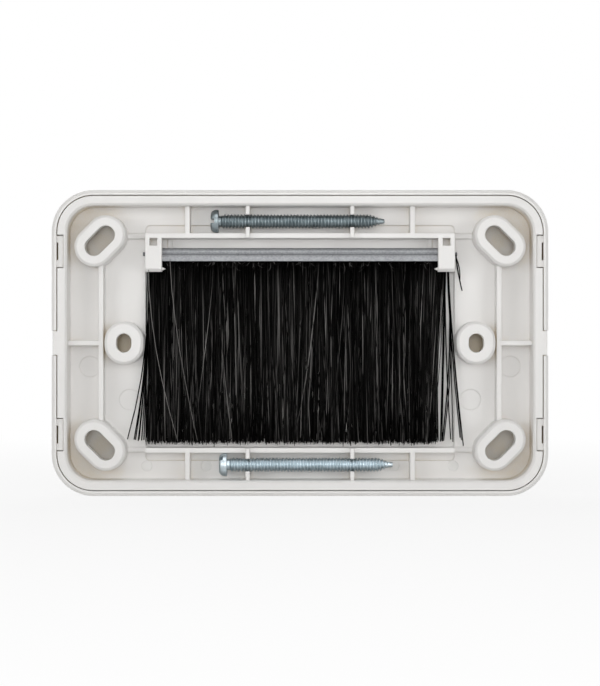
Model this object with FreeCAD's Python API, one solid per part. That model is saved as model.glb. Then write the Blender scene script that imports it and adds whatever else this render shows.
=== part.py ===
import FreeCAD, Part
import math
import os

# A hooded wall plate for cables, with a brush curtain behind its hood, in millimetres.
# X runs to the right and Z up, seen from the front. Y runs into the wall, and the wall is the plane y = 0.
# Depths are counted from the wall towards the front, so a depth of 5 lies at y = -5.
# The origin is on the wall plane, midway between the two screw bosses at half height.

Vector = FreeCAD.Vector
ORIGIN = Vector(0, 0, 0)
ALONG_X = Vector(1, 0, 0)
ALONG_Y = Vector(0, 1, 0)
ALONG_Z = Vector(0, 0, 1)

# Plate as a whole: the screws stand a fixed distance apart, and the plate reaches past them
screw_spacing = 84.0
screw_edge_distance = 17.25
plate_height = 73.0
plate_depth = 10.5
plate_corner_radius = 10.0

# Clip-on surround
cover_wall = 1.2
cover_face = 2.0
cover_edge_radius = 3.0
cover_back_chamfer = 0.7
seam_gap = 0.2
face_gap = 0.2
window_gap = 0.2

# Tray of the base
rim_wall = 2.3
rim_edge_chamfer = 0.5
floor_thickness = 1.6

# Middle pad of the base and the recess behind it, deep between the cross ribs and a mere step outside them
pad_screw_distance = 3.5
pad_edge_distance = 5.5
pad_corner_radius = 2.0
pad_thickness = 2.7
pad_wall = 1.2
recess_corner_radius = 1.0
recess_step = 0.3

# Hood over the cable hole: its margins on the pad, and how far its face stands proud
hood_side_margin = 6.3
hood_top_margin = 6.1
hood_lip_margin = 7.8
hood_top_rise = 6.5
hood_lip_rise = 19.0
hood_draft = 9.0
hood_corner_radius = 9.0
hood_edge_radius = 4.0
hood_root_chamfer = 0.6
hood_wall = 1.8

# Screw bosses at half height
screw_slot_width = 3.6
screw_slot_length = 4.5
screw_boss_wall = 2.85

# Slotted bosses in the corners
corner_slot_width = 4.4
corner_slot_length = 8.4
corner_boss_wall = 2.5
corner_gap_x = 1.7
corner_gap_z = 2.3
boss_edge_chamfer = 0.6
boss_web = 3.5
boss_seat_wall = 1.3

# Ribs on the back of the base
rib_thickness = 1.2
low_rib_height = 0.6
short_rib_gap = 5.55
clip_rib_offset = 12.5
clip_rib_thickness = 1.0
clip_arm = 2.2
clip_clearance = 0.15
clip_mouth = 3.0

# Spare screws in their clips, each a little off the middle of the plate
screw_diameter = 3.4
screw_length = 41.7
screw_head_diameter = 5.5
screw_head_height = 1.9
screw_head_flat = 3.4
screw_head_band = 0.6
screw_slot_cut_width = 1.0
screw_slot_cut_depth = 0.95
screw_cross_length = 3.2
screw_taper_length = 1.1
screw_nose_diameter = 1.3
screw_nose_length = 1.75
screw_rim_gap = 0.85
screw_rib_gap = 0.1
screw_floor_gap = 0.55
upper_screw_shift = 0.55
lower_screw_shift = -1.45
lower_screw_turn = 40.0

# Brush: crimped channel, core wire and bristles
channel_height = 3.2
channel_depth = 3.2
channel_wall = 0.55
channel_bend_radius = 1.1
channel_end_gap = 0.4
channel_rib_gap = 2.25
crimp_width = 0.9
crimp_depth = 0.25
core_wire_diameter = 0.9
core_wire_overhang = 1.0
core_wire_floor_gap = 0.25
bristle_end_gap = 0.4
bristle_overlap = 2.2
curtain_thickness = 2.4
curtain_row_gap = 0.3
root_drop = 1.5
bristle_tufts = 54
tuft_gap = 0.3
tuft_split = 24.0
tip_raggedness = 0.5
brush_clearance = 0.04

# Straps and rests that hold the brush
strap_width = 4.0
strap_recess_gap = 0.15
strap_thickness = 1.6
strap_reach = 2.6
strap_lip = 0.45
strap_chamfer = 0.7
strap_hole = 1.8
strap_barb = 0.9
strap_clearance = 0.1
rest_width = 1.1

# Clips between the surround and the rim of the base
hook_drop = 13.25
hook_pocket_length = 7.9
hook_pocket_width = 1.45
hook_pocket_depth = 2.6
hook_setback = 0.7
hook_slit_length = 4.2
hook_slit_width = 0.35
hook_clearance = 0.15
hook_end_clearance = 0.2

# Notches where a screwdriver lifts the surround, each filled by a tongue of the base
pry_length = 6.0
pry_depth = 2.5
pry_clearance = 0.15
pry_setback = 0.35

# Round ejector marks in the floor: diameter, distance from the middle in X, height
ejector_marks = ((5.0, 50.8, -5.7), (5.0, 41.2, -13.7))
ejector_depth = 0.15

# How far solids of one moulding reach into each other before they are joined
bite = 0.5
tiny = 1e-4

# Outlines and depths of the plate
plate_width = screw_spacing + 2 * screw_edge_distance
floor_front = plate_depth - cover_face - face_gap
floor_back = floor_front - floor_thickness
base_width = plate_width - 2 * (cover_wall + seam_gap)
base_height = plate_height - 2 * (cover_wall + seam_gap)
base_corner_radius = plate_corner_radius - cover_wall - seam_gap
tray_width = base_width - 2 * rim_wall
tray_height = base_height - 2 * rim_wall
pad_width = screw_spacing - 2 * pad_screw_distance
pad_height = base_height - 2 * pad_edge_distance
recess_width = pad_width - 2 * pad_wall
recess_height = pad_height - 2 * pad_wall
recess_floor = plate_depth - pad_thickness

# Hood
hood_half = pad_width / 2 - hood_side_margin
hood_top = pad_height / 2 - hood_top_margin
hood_lip = hood_lip_margin - pad_height / 2
hood_slope = math.atan2(hood_lip_rise - hood_top_rise, hood_top - hood_lip)
draft_run = math.tan(math.radians(hood_draft))
# The edge inside the hood is a flat that touches the round which a wall of even thickness would have
hood_inner_chamfer = (2 - math.sqrt(2)) * (hood_edge_radius - hood_wall)

# Corner bosses
corner_half_run = (corner_slot_length - corner_slot_width) / 2
corner_reach = corner_half_run * math.sqrt(0.5) + corner_slot_width / 2 + corner_boss_wall
corner_x = tray_width / 2 - corner_reach - corner_gap_x
corner_z = tray_height / 2 - corner_reach - corner_gap_z

# Spare screws and the ribs beside them
screw_height = tray_height / 2 - screw_rim_gap - screw_head_diameter / 2
screw_depth = floor_back - screw_floor_gap - screw_head_diameter / 2
cross_rib_top = screw_height - screw_head_diameter / 2 - screw_rib_gap
cross_rib_low = cross_rib_top - rib_thickness
short_rib_offset = screw_length / 2 + short_rib_gap + rib_thickness / 2
clip_crest = screw_depth - clip_arm

# Brush, straps and the crest of the ribs, which is level with the straps
brush_depth = floor_back - core_wire_floor_gap - core_wire_diameter / 2
channel_back = brush_depth - channel_depth / 2
channel_front = brush_depth + channel_depth / 2
channel_top = cross_rib_low - channel_rib_gap
channel_bottom = channel_top - channel_height
channel_length = recess_width - 2 * channel_end_gap
core_wire_height = channel_top - channel_wall - core_wire_diameter
bristle_width = channel_length - 2 * bristle_end_gap
bristle_tip = hood_lip - bristle_overlap
root_thickness = channel_depth - 2 * (channel_wall + crimp_depth + brush_clearance)
strap_inner = channel_back - strap_clearance
rib_crest = strap_inner - strap_thickness
strap_end = channel_bottom - strap_reach
strap_outer_x = recess_width / 2 - strap_recess_gap
strap_inner_x = strap_outer_x - strap_width
hook_height = base_height / 2 - hook_drop


def box(x_low, x_high, depth_low, depth_high, z_low, z_high):
    """Block between two places in X, two depths and two heights."""
    corner = Vector(x_low, -depth_high, z_low)
    return Part.makeBox(x_high - x_low, depth_high - depth_low, z_high - z_low, corner)


def rod(radius, length, depth, height):
    """Round bar along X, centred on x = 0."""
    return Part.makeCylinder(radius, length, Vector(-length / 2, -depth, height), ALONG_X)


def flat_face(corners):
    """Flat face inside a closed run of straight edges."""
    return Part.Face(Part.makePolygon(corners + corners[:1]))


def quarter_arc(centre_x, centre_z, radius, start, depth):
    """Quarter of a circle at a depth, anticlockwise in (x, z) from a start angle in degrees."""
    angles = [math.radians(start + turn) for turn in (0, 45, 90)]
    spots = [Vector(centre_x + radius * math.cos(a), -depth, centre_z + radius * math.sin(a)) for a in angles]
    return Part.Arc(*spots).toShape()


def line(start, end):
    """Straight edge."""
    return Part.LineSegment(start, end).toShape()


def rounded_plate(width, height, radius, depth_low, depth_high):
    """Plate with round corners about the origin, between two depths."""
    x = width / 2 - radius
    z = height / 2 - radius
    corners = ((x, z, 0), (-x, z, 90), (-x, -z, 180), (x, -z, 270))
    arcs = [quarter_arc(centre_x, centre_z, radius, start, depth_low) for centre_x, centre_z, start in corners]
    edges = []
    for this, following in zip(arcs, arcs[1:] + arcs[:1]):
        edges += [this, line(this.Vertexes[-1].Point, following.Vertexes[0].Point)]
    return Part.Face(Part.Wire(edges)).extrude(Vector(0, depth_low - depth_high, 0))


def slot_bar(x, z, width, length, turn, depth_low, depth_high):
    """Bar with round ends between two depths, its length turned in (x, z) from the X direction."""
    radius = width / 2
    half = (length - width) / 2
    span = depth_high - depth_low
    ends = [Part.makeCylinder(radius, span, Vector(side, 0, 0), ALONG_Y) for side in (-half, half)]
    bar = Part.makeBox(2 * half, span, width, Vector(-half, 0, -radius)).multiFuse(ends).removeSplitter()
    bar.rotate(ORIGIN, ALONG_Y, -turn)
    bar.translate(Vector(x, -depth_high, z))
    return bar


def edges_at_depth(shape, depth):
    """Edges that lie wholly in the plane at a depth."""
    return [e for e in shape.Edges if max(abs(e.BoundBox.YMin + depth), abs(e.BoundBox.YMax + depth)) < tiny]


def long_edges_at_height(shape, height):
    """Edges along X that lie at a height."""
    level = [e for e in shape.Edges if max(abs(e.BoundBox.ZMin - height), abs(e.BoundBox.ZMax - height)) < tiny]
    return [e for e in level if e.BoundBox.YLength < tiny]


def both_sides(shape):
    """The shape and its mirror image across the plane x = 0."""
    return [shape, shape.mirror(ORIGIN, ALONG_X)]


def four_corners(shape):
    """The shape and its images across the planes x = 0 and z = 0."""
    return [image for half in both_sides(shape) for image in (half, half.mirror(ORIGIN, ALONG_Z))]


# Hood

def hood_outline(inset, depth):
    """Outline of the hood at a depth: straight lip below, round corners above, narrower towards the front."""
    shrink = inset + (depth - plate_depth) * draft_run
    half = hood_half - shrink
    top = hood_top - shrink
    radius = hood_corner_radius - shrink
    right = quarter_arc(half - radius, top - radius, radius, 0, depth)
    left = quarter_arc(radius - half, top - radius, radius, 90, depth)
    low_left = Vector(-half, -depth, hood_lip)
    low_right = Vector(half, -depth, hood_lip)
    crown = line(right.Vertexes[-1].Point, left.Vertexes[0].Point)
    sides = [line(left.Vertexes[-1].Point, low_left), line(low_left, low_right),
             line(low_right, right.Vertexes[0].Point)]
    return Part.Wire([right, crown, left] + sides)


def hood_form(inset, depth_low):
    """Drafted walls cut off by a sloping face, and the edges where that face meets the walls."""
    depth_high = plate_depth + hood_lip_rise
    lip_depth = depth_high - inset / math.cos(hood_slope)
    above = 2 * hood_top - hood_lip
    above_depth = lip_depth - (above - hood_lip) * math.tan(hood_slope)
    walls = Part.makeLoft([hood_outline(inset, depth_low), hood_outline(inset, depth_high)], True, True)
    side_view = ((depth_low - depth_high, hood_lip), (lip_depth, hood_lip), (above_depth, above),
                 (depth_low - depth_high, above))
    wedge = flat_face([Vector(-pad_width, -depth, z) for depth, z in side_view])
    form = walls.common(wedge.extrude(Vector(2 * pad_width, 0, 0)))

    def on_slope(vertex):
        return abs(lip_depth + vertex.Y - (vertex.Z - hood_lip) * math.tan(hood_slope)) < tiny

    sloping = [e for e in form.Edges if all(on_slope(v) for v in e.Vertexes)]
    return form, [e for e in sloping if e.BoundBox.ZMax > hood_lip + tiny]


def hood_root_edges(shape):
    """Edges where the hood grows out of the pad."""
    level = edges_at_depth(shape, plate_depth)
    inside = pad_width / 2 - hood_side_margin / 2
    return [e for e in level if max(abs(e.BoundBox.XMin), abs(e.BoundBox.XMax)) < inside
            and e.BoundBox.ZMax > hood_lip + tiny]


# Base plate

def tray():
    """Floor with a rim that is chamfered along its inner edge."""
    body = rounded_plate(base_width, base_height, base_corner_radius, 0, floor_front)
    body = body.cut(rounded_plate(tray_width, tray_height, base_corner_radius - rim_wall, 0, floor_back))
    rim_face = [face for face in body.Faces if face.BoundBox.YMin > -tiny][0]
    inner = [e for wire in rim_face.Wires if not wire.isSame(rim_face.OuterWire) for e in wire.Edges]
    return body.makeChamfer(rim_edge_chamfer, inner)


def boss_list():
    """Place, slot, wall and turn of every screw boss. A corner slot lies square to the plate's diagonal."""
    found = [(x, 0, screw_slot_width, screw_slot_length, screw_boss_wall, 90)
             for x in (-screw_spacing / 2, screw_spacing / 2)]
    for x in (-corner_x, corner_x):
        for z in (-corner_z, corner_z):
            turn = -45 if x * z > 0 else 45
            found.append((x, z, corner_slot_width, corner_slot_length, corner_boss_wall, turn))
    return found


def boss(x, z, slot_width, slot_length, wall, turn):
    """Boss round a slot, from the floor to the wall plane, with a chamfered end."""
    body = slot_bar(x, z, slot_width + 2 * wall, slot_length + 2 * wall, turn, 0, floor_back + bite)
    return body.makeChamfer(boss_edge_chamfer, edges_at_depth(body, 0))


def boss_bore(x, z, slot_width, slot_length, wall, turn):
    """Slot through a boss, and the wider seat for the screw's head that opens to the front."""
    extra = 2 * (wall - boss_seat_wall)
    through = slot_bar(x, z, slot_width, slot_length, turn, -bite, plate_depth)
    return through.fuse(slot_bar(x, z, slot_width + extra, slot_length + extra, turn, boss_web, plate_depth))


def clip_rib():
    """Rib with a round seat and a narrower mouth that a spare screw snaps into."""
    low = clip_rib_offset - clip_rib_thickness / 2
    high = clip_rib_offset + clip_rib_thickness / 2
    rib = box(low, high, clip_crest, plate_depth, cross_rib_low, base_height / 2)
    seat = rod(screw_diameter / 2 + clip_clearance, plate_width, screw_depth, screw_height)
    mouth = box(low, high, 0, screw_depth, screw_height - clip_mouth / 2, screw_height + clip_mouth / 2)
    return rib.cut([seat, mouth])


def recess(extra):
    """Hollow behind the pad between the cross ribs, taken a little deeper by an extra depth."""
    return rounded_plate(recess_width, 2 * cross_rib_low, recess_corner_radius, 0, recess_floor + extra)


def ribs():
    """Every rib and rest, each stood on the floor or in the recess behind the pad. The cross ribs carry on
    to the corner bosses as low ribs."""
    half = rib_thickness / 2
    edge_x = base_width / 2
    edge_z = base_height / 2
    cross = box(-strap_outer_x, strap_outer_x, rib_crest, plate_depth, cross_rib_low, cross_rib_top)
    low = box(strap_outer_x, corner_x, floor_back - low_rib_height, plate_depth, cross_rib_low, cross_rib_top)
    side = box(corner_x - half, corner_x + half, rib_crest, plate_depth, -corner_z, corner_z)
    middle = box(corner_x, edge_x, rib_crest, plate_depth, -half, half)
    short = box(short_rib_offset - half, short_rib_offset + half, rib_crest, plate_depth, cross_rib_low, edge_z)
    rest_x = hood_half - hood_wall + pad_thickness * draft_run + strap_clearance
    rest = box(rest_x, rest_x + rest_width, channel_front, plate_depth, channel_bottom, cross_rib_top)
    rows = [cross, cross.mirror(ORIGIN, ALONG_Z)]
    for part in (side, middle, rest):
        rows += both_sides(part)
    for part in (low, short, clip_rib()):
        rows += four_corners(part)
    room = rounded_plate(tray_width + bite, tray_height + bite, base_corner_radius - rim_wall, 0,
                         floor_back + bite)
    room = room.fuse(recess(bite))
    return rows[0].multiFuse(rows[1:]).common(room)


def strap():
    """Strap over the right end of the brush: it hangs from the cross rib and hooks under the channel."""
    plate = box(strap_inner_x, strap_outer_x, rib_crest, strap_inner, strap_end, cross_rib_top)
    lip = box(strap_inner_x, strap_outer_x, rib_crest, strap_inner + strap_lip, strap_end,
              channel_bottom - strap_clearance)
    body = plate.fuse(lip).removeSplitter()
    low_edge = [e for e in edges_at_depth(body, rib_crest) if e.BoundBox.ZMax < strap_end + tiny]
    body = body.makeChamfer(strap_chamfer, low_edge)
    barb_side = strap_inner_x + bite
    barb = flat_face([Vector(barb_side, -strap_inner, strap_end),
                      Vector(strap_inner_x - strap_barb, -strap_inner, strap_end + strap_chamfer),
                      Vector(barb_side, -strap_inner, strap_end + 2 * strap_chamfer)])
    body = body.fuse(barb.extrude(Vector(0, strap_chamfer, 0)))
    middle = (strap_inner_x + strap_outer_x) / 2
    return body.cut(box(middle - strap_hole / 2, middle + strap_hole / 2, 0, plate_depth,
                        cross_rib_low - strap_hole, cross_rib_low))


def hook_pocket():
    """Pocket in the outside of the rim where a hook of the surround catches."""
    edge = base_width / 2
    half = hook_pocket_length / 2
    return box(edge - hook_pocket_width, edge + bite, -bite, hook_pocket_depth,
               hook_height - half, hook_height + half)


def pry_tongue():
    """Tongue of the rim that fills the screwdriver notch of the surround."""
    half = pry_length / 2 - pry_clearance
    return box(tray_width / 2 + rim_edge_chamfer, plate_width / 2 - pry_setback, 0, pry_depth - pry_clearance,
               -half, half)


def ejector_mark(diameter, x, z):
    """Shallow round mark in the back of the floor."""
    return Part.makeCylinder(diameter / 2, ejector_depth, Vector(x, -floor_back, z), -ALONG_Y)


def base_plate():
    """The whole base moulding."""
    pad = rounded_plate(pad_width, pad_height, pad_corner_radius, floor_back, plate_depth)
    hood, hood_edges = hood_form(0, plate_depth - bite)
    hood = hood.makeFillet(hood_edge_radius, hood_edges)
    hollow, hollow_edges = hood_form(hood_wall, floor_back)
    hollow = hollow.makeChamfer(hood_inner_chamfer, hollow_edges)
    body = tray().multiFuse([pad, hood]).removeSplitter()
    body = body.makeChamfer(hood_root_chamfer, hood_root_edges(body))
    step = rounded_plate(recess_width, recess_height, recess_corner_radius, 0, floor_back + recess_step)
    body = body.cut([step, recess(0), hollow])
    bosses = [boss(*values) for values in boss_list()]
    body = body.multiFuse([ribs()] + bosses + both_sides(strap()) + both_sides(pry_tongue())).removeSplitter()
    marks = [image for values in ejector_marks for image in both_sides(ejector_mark(*values))]
    return body.cut([boss_bore(*values) for values in boss_list()] + four_corners(hook_pocket()) + marks)


# Surround

def hook():
    """Hook inside the side wall of the surround, slit along the wall, that sits in a pocket of the rim."""
    wall = plate_width / 2 - cover_wall
    reach = seam_gap + hook_pocket_width - hook_clearance
    half = hook_pocket_length / 2 - hook_end_clearance
    slit = hook_slit_length / 2
    body = box(wall - reach, wall + cover_wall / 2, hook_setback, hook_pocket_depth - hook_clearance,
               hook_height - half, hook_height + half)
    return body.cut(box(wall - hook_slit_width, wall, 0, plate_depth, hook_height - slit, hook_height + slit))


def surround_cover():
    """Clip-on frame with a window for the middle pad."""
    body = rounded_plate(plate_width, plate_height, plate_corner_radius, 0, plate_depth)
    body = body.makeFillet(cover_edge_radius, edges_at_depth(body, plate_depth))
    body = body.makeChamfer(cover_back_chamfer, edges_at_depth(body, 0))
    inside = rounded_plate(plate_width - 2 * cover_wall, plate_height - 2 * cover_wall,
                           plate_corner_radius - cover_wall, 0, plate_depth - cover_face)
    window = rounded_plate(pad_width + 2 * window_gap, pad_height + 2 * window_gap,
                           pad_corner_radius + window_gap, 0, plate_depth)
    outer = plate_width / 2
    notch = box(outer - cover_wall - bite, outer + bite, 0, pry_depth, -pry_length / 2, pry_length / 2)
    body = body.cut([inside, window] + both_sides(notch))
    return body.multiFuse(four_corners(hook())).removeSplitter()


# Brush

def folded_strip(inset, z_low):
    """Block with round upper edges: the outside of the channel, or its inside when set in by the wall."""
    half = channel_length / 2
    top = channel_top - inset
    body = box(-half, half, channel_back + inset, channel_front - inset, z_low, top)
    return body.makeFillet(channel_bend_radius - inset, long_edges_at_height(body, top))


def brush_channel():
    """Strip folded to a U that opens downwards, with a crimp pressed along both flanks."""
    body = folded_strip(0, channel_bottom).cut(folded_strip(channel_wall, channel_bottom - bite))
    middle = (channel_top + channel_bottom) / 2
    radius = (crimp_width * crimp_width / 4 + crimp_depth * crimp_depth) / (2 * crimp_depth)
    offset = channel_depth / 2 - crimp_depth + radius
    for side in (-1, 1):
        groove = rod(radius, channel_length, brush_depth + side * offset, middle)
        bulge = rod(radius, channel_length, brush_depth + side * (offset - channel_wall), middle)
        body = body.fuse(bulge.common(folded_strip(channel_wall / 2, channel_bottom))).cut(groove)
    return body.removeSplitter()


def brush_core_wire():
    """Wire that runs the length of the channel and stands out at both ends."""
    return rod(core_wire_diameter / 2, channel_length + 2 * core_wire_overhang, brush_depth, core_wire_height)


def tuft_outline(row, depth):
    """Comb outline of one row of bristles: splits of uneven depth between tufts with ragged tips."""
    top = channel_bottom - brush_clearance
    pitch = bristle_width / bristle_tufts
    start = -bristle_width / 2
    points = [(start, top)]
    for i in range(bristle_tufts):
        left = start + i * pitch
        lean = tuft_gap / 2 * math.sin(1.9 * i + 2.6 * row)
        tip = bristle_tip + tip_raggedness * (1 + math.sin(2.4 * i * i + 1.7 * row))
        slant = tip_raggedness * abs(math.cos(3.1 * i + row))
        split = bristle_tip + tuft_split * (0.7 + 0.3 * math.sin(1.3 * i * i + row))
        points += [(left + tuft_gap / 2 + lean, tip), (left + pitch - tuft_gap / 2 + lean, tip + slant),
                   (left + pitch, split)]
    points[-1] = (-start, top)
    return flat_face([Vector(x, -depth, z) for x, z in points])


def brush_bristles():
    """Curtain of bristles: two rows of tufts that hang from the fold over the core wire."""
    half = bristle_width / 2
    root_top = channel_top - channel_wall - brush_clearance
    root = box(-half, half, brush_depth - root_thickness / 2, brush_depth + root_thickness / 2,
               channel_bottom - root_drop, root_top)
    root = root.makeFillet(root_thickness / 3, long_edges_at_height(root, root_top))
    row_thickness = (curtain_thickness - curtain_row_gap) / 2
    backs = (brush_depth - curtain_thickness / 2, brush_depth + curtain_row_gap / 2)
    rows = [tuft_outline(row, back).extrude(Vector(0, -row_thickness, 0)) for row, back in enumerate(backs)]
    bore = rod(core_wire_diameter / 2 + brush_clearance, channel_length, brush_depth, core_wire_height)
    return root.multiFuse(rows).removeSplitter().cut(bore)


# Screws

def screw(head_end, height, turn):
    """Screw that lies along X with its head towards +X. Its thread is left plain, at the outer diameter."""
    head_radius = screw_head_diameter / 2
    flat = screw_head_flat / 2
    band = screw_head_band - screw_head_height
    nose = screw_nose_length - screw_length
    half_section = ((band, head_radius), (-screw_head_height, head_radius),
                    (-screw_head_height, screw_diameter / 2), (nose + screw_taper_length, screw_diameter / 2),
                    (nose, screw_nose_diameter / 2), (-screw_length, screw_nose_diameter / 2),
                    (-screw_length, 0), (0, 0), (0, flat))
    spots = [Vector(x, radius, 0) for x, radius in half_section]
    edges = [line(start, end) for start, end in zip(spots, spots[1:] + spots[:1])]
    body = Part.Face(Part.Wire(edges)).revolve(ORIGIN, ALONG_X, 360)
    half_cut = screw_slot_cut_width / 2
    slot = Part.makeBox(screw_slot_cut_depth, screw_head_diameter, screw_slot_cut_width,
                        Vector(-screw_slot_cut_depth, -head_radius, -half_cut))
    cross = Part.makeBox(screw_slot_cut_depth, screw_slot_cut_width, screw_cross_length,
                         Vector(-screw_slot_cut_depth, -half_cut, -screw_cross_length / 2))
    body = body.cut([slot, cross])
    body.rotate(ORIGIN, ALONG_X, turn)
    body.translate(Vector(head_end, -screw_depth, height))
    return body


def mounting_screws():
    """The two spare screws in their clips."""
    upper = screw(screw_length / 2 + upper_screw_shift, screw_height, 0)
    lower = screw(screw_length / 2 + lower_screw_shift, -screw_height, lower_screw_turn)
    return Part.makeCompound([upper, lower])


nodes = (base_plate, surround_cover, brush_channel, brush_core_wire, brush_bristles, mounting_screws)

os.makedirs("parts", exist_ok=True)
for make in nodes:
    shape = make()
    shape.exportStep(f"parts/{make.__name__}.step")
    print(make.__name__, len(shape.Solids), "solids", round(shape.Volume, 2), "mm3", "valid", shape.isValid())
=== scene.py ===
import math

import bmesh
import bpy
import numpy as np
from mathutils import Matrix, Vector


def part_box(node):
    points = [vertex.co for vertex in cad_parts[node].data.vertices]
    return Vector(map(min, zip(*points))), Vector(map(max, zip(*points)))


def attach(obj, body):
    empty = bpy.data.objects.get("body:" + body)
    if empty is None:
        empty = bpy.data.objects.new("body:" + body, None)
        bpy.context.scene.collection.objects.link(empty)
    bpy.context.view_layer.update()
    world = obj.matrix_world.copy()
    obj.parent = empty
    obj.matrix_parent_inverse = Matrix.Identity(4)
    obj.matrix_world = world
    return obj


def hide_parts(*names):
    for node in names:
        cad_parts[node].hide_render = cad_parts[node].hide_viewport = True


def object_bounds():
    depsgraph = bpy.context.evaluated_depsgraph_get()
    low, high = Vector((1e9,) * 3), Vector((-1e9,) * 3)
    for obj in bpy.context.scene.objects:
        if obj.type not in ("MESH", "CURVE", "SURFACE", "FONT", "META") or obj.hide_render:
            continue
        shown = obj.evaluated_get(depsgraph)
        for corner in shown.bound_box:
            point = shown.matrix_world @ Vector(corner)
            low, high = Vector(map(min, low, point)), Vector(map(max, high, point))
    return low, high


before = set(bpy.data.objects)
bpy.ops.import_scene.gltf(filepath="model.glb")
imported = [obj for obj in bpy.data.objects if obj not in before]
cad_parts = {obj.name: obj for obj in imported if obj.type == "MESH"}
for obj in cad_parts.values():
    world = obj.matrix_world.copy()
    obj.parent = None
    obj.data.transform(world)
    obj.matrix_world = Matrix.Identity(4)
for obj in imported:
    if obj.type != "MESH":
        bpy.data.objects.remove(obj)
CAD_LOW, CAD_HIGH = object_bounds()

bl_info = {
    "name": "Brush cable plate",
    "version": (1, 0, 0),
    "blender": (4, 5, 0),
    "location": "View3D > Sidebar > Brush plate",
    "description": "Dresses a hooded cable plate: brush, spare screws and finishes, in a plain studio",
    "category": "Object",
}

# A millimetre and the photograph's frame in pixels
MM = 0.001
FRAME_WIDTH = 600
FRAME_HEIGHT = 686

# Distance within which nodes of a mesh are merged
MERGE_DISTANCE = 0.001 * MM

# Boxes of the solids that the new pieces are fitted to
CHANNEL_LOW, CHANNEL_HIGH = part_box("brush_channel")
BRISTLES_LOW, BRISTLES_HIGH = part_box("brush_bristles")
SCREWS_LOW, SCREWS_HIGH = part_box("mounting_screws")

# The tray's floor in Y, where the wall plane is zero
TRAY_FLOOR = -6.7 * MM

# Small ejector marks on that floor: X of each, height of all, and the rings of one from its top down
MARK_X = (-37.0 * MM, -22.7 * MM, 22.7 * MM, 37.0 * MM)
MARK_Z = -29.7 * MM
MARK_RADII = (1.15 * MM, 1.25 * MM, 1.30 * MM)
MARK_RISES = (0.10 * MM, 0.07 * MM, -0.05 * MM)
MARK_NODES = 36

# Ends of the curtain's bristles: the share of a clump's width that roots are scattered by, how far they sit
# inside the channel, and how far tips end above the lowest edge of the solid
ROOT_SCATTER = 0.25
ROOT_INSET = 0.6 * MM
TIP_LIFT = 0.4 * MM

# Thin end of the curtain: the stretch whose bristles draw in, and the share of their distance that they move
THIN_END = 5 * MM
DRAW_IN = 0.5

# Bends along X: the power of the way down that a lean follows, the spread of one bristle's and one
# clump's bow, the range of a clump's pinch and the spread of a bristle's ripple
LEAN_POWER = 1.4
BOW = 0.30 * MM
CLUMP_BOW = 0.20 * MM
CLUMP_PINCH = (-0.1, 0.25)
RIPPLE = 0.16 * MM

# Bends in depth: the spread of a clump's sag and a bristle's weave, the share of the thickness that the
# roots take, what it gains below them and how fast, and the play beyond the solid on either side
CLUMP_SAG = 0.20 * MM
WEAVE = 0.25 * MM
ROOT_SHARE = 0.55
SHARE_GAIN = 0.4
GAIN_RATE = 5
HOOD_PLAY = 0.2 * MM
WALL_PLAY = 0.3 * MM

# Thick end of the curtain: play at the recess, overhang of bristles that stand clear of the tray's floor,
# the spread of both, the depth over which the overhang grows and the share of it where it starts
EDGE_PLAY = 0.2 * MM
OVERHANG = 0.6 * MM
EDGE_SPREAD = 0.12 * MM
OVERHANG_DEPTH = 0.5 * MM
OVERHANG_START = 0.4

# Wild bristles: their share, how far from the middle they stand, their lean and their place in the thickness
WILD_SHARE = 0.02
WILD_REACH = 28 * MM
WILD_LEAN = 3.0 * MM
WILD_DEPTH = 1.1

# Thickness of filaments: the range among them, the share of a fibre and the share that is left at a tip
THICKNESS_RANGE = (0.85, 1.15)
FIBRE_SHARE = 0.5
TIP_SHARE = 0.8

# Light that bristles give back, as colour: the gamma curve of its even part, the share of a clump's bristles
# that have a painted highlight along a stretch, and that stretch's peak, its middle along the bristle and
# its width
EVEN_SHAPE = 0.8
EVEN_SCALE = 0.025
HIGHLIT_SHARE = (0.12, 0.50)
HIGHLIGHT_PEAK = (0.15, 1.0)
HIGHLIGHT_MIDDLE = (0.15, 1.1)
HIGHLIGHT_WIDTH = (0.08, 0.32)

# Fibres under the channel: length, spread of the angle and the curl in radians, depth and height of the root
FIBRE_REACH = (1.0 * MM, 3.2 * MM)
FIBRE_ANGLE = 0.5
FIBRE_CURL = 0.9
FIBRE_DEPTH = 0.25 * MM
FIBRE_ROOT = (-0.2 * MM, 0.1 * MM)
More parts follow.
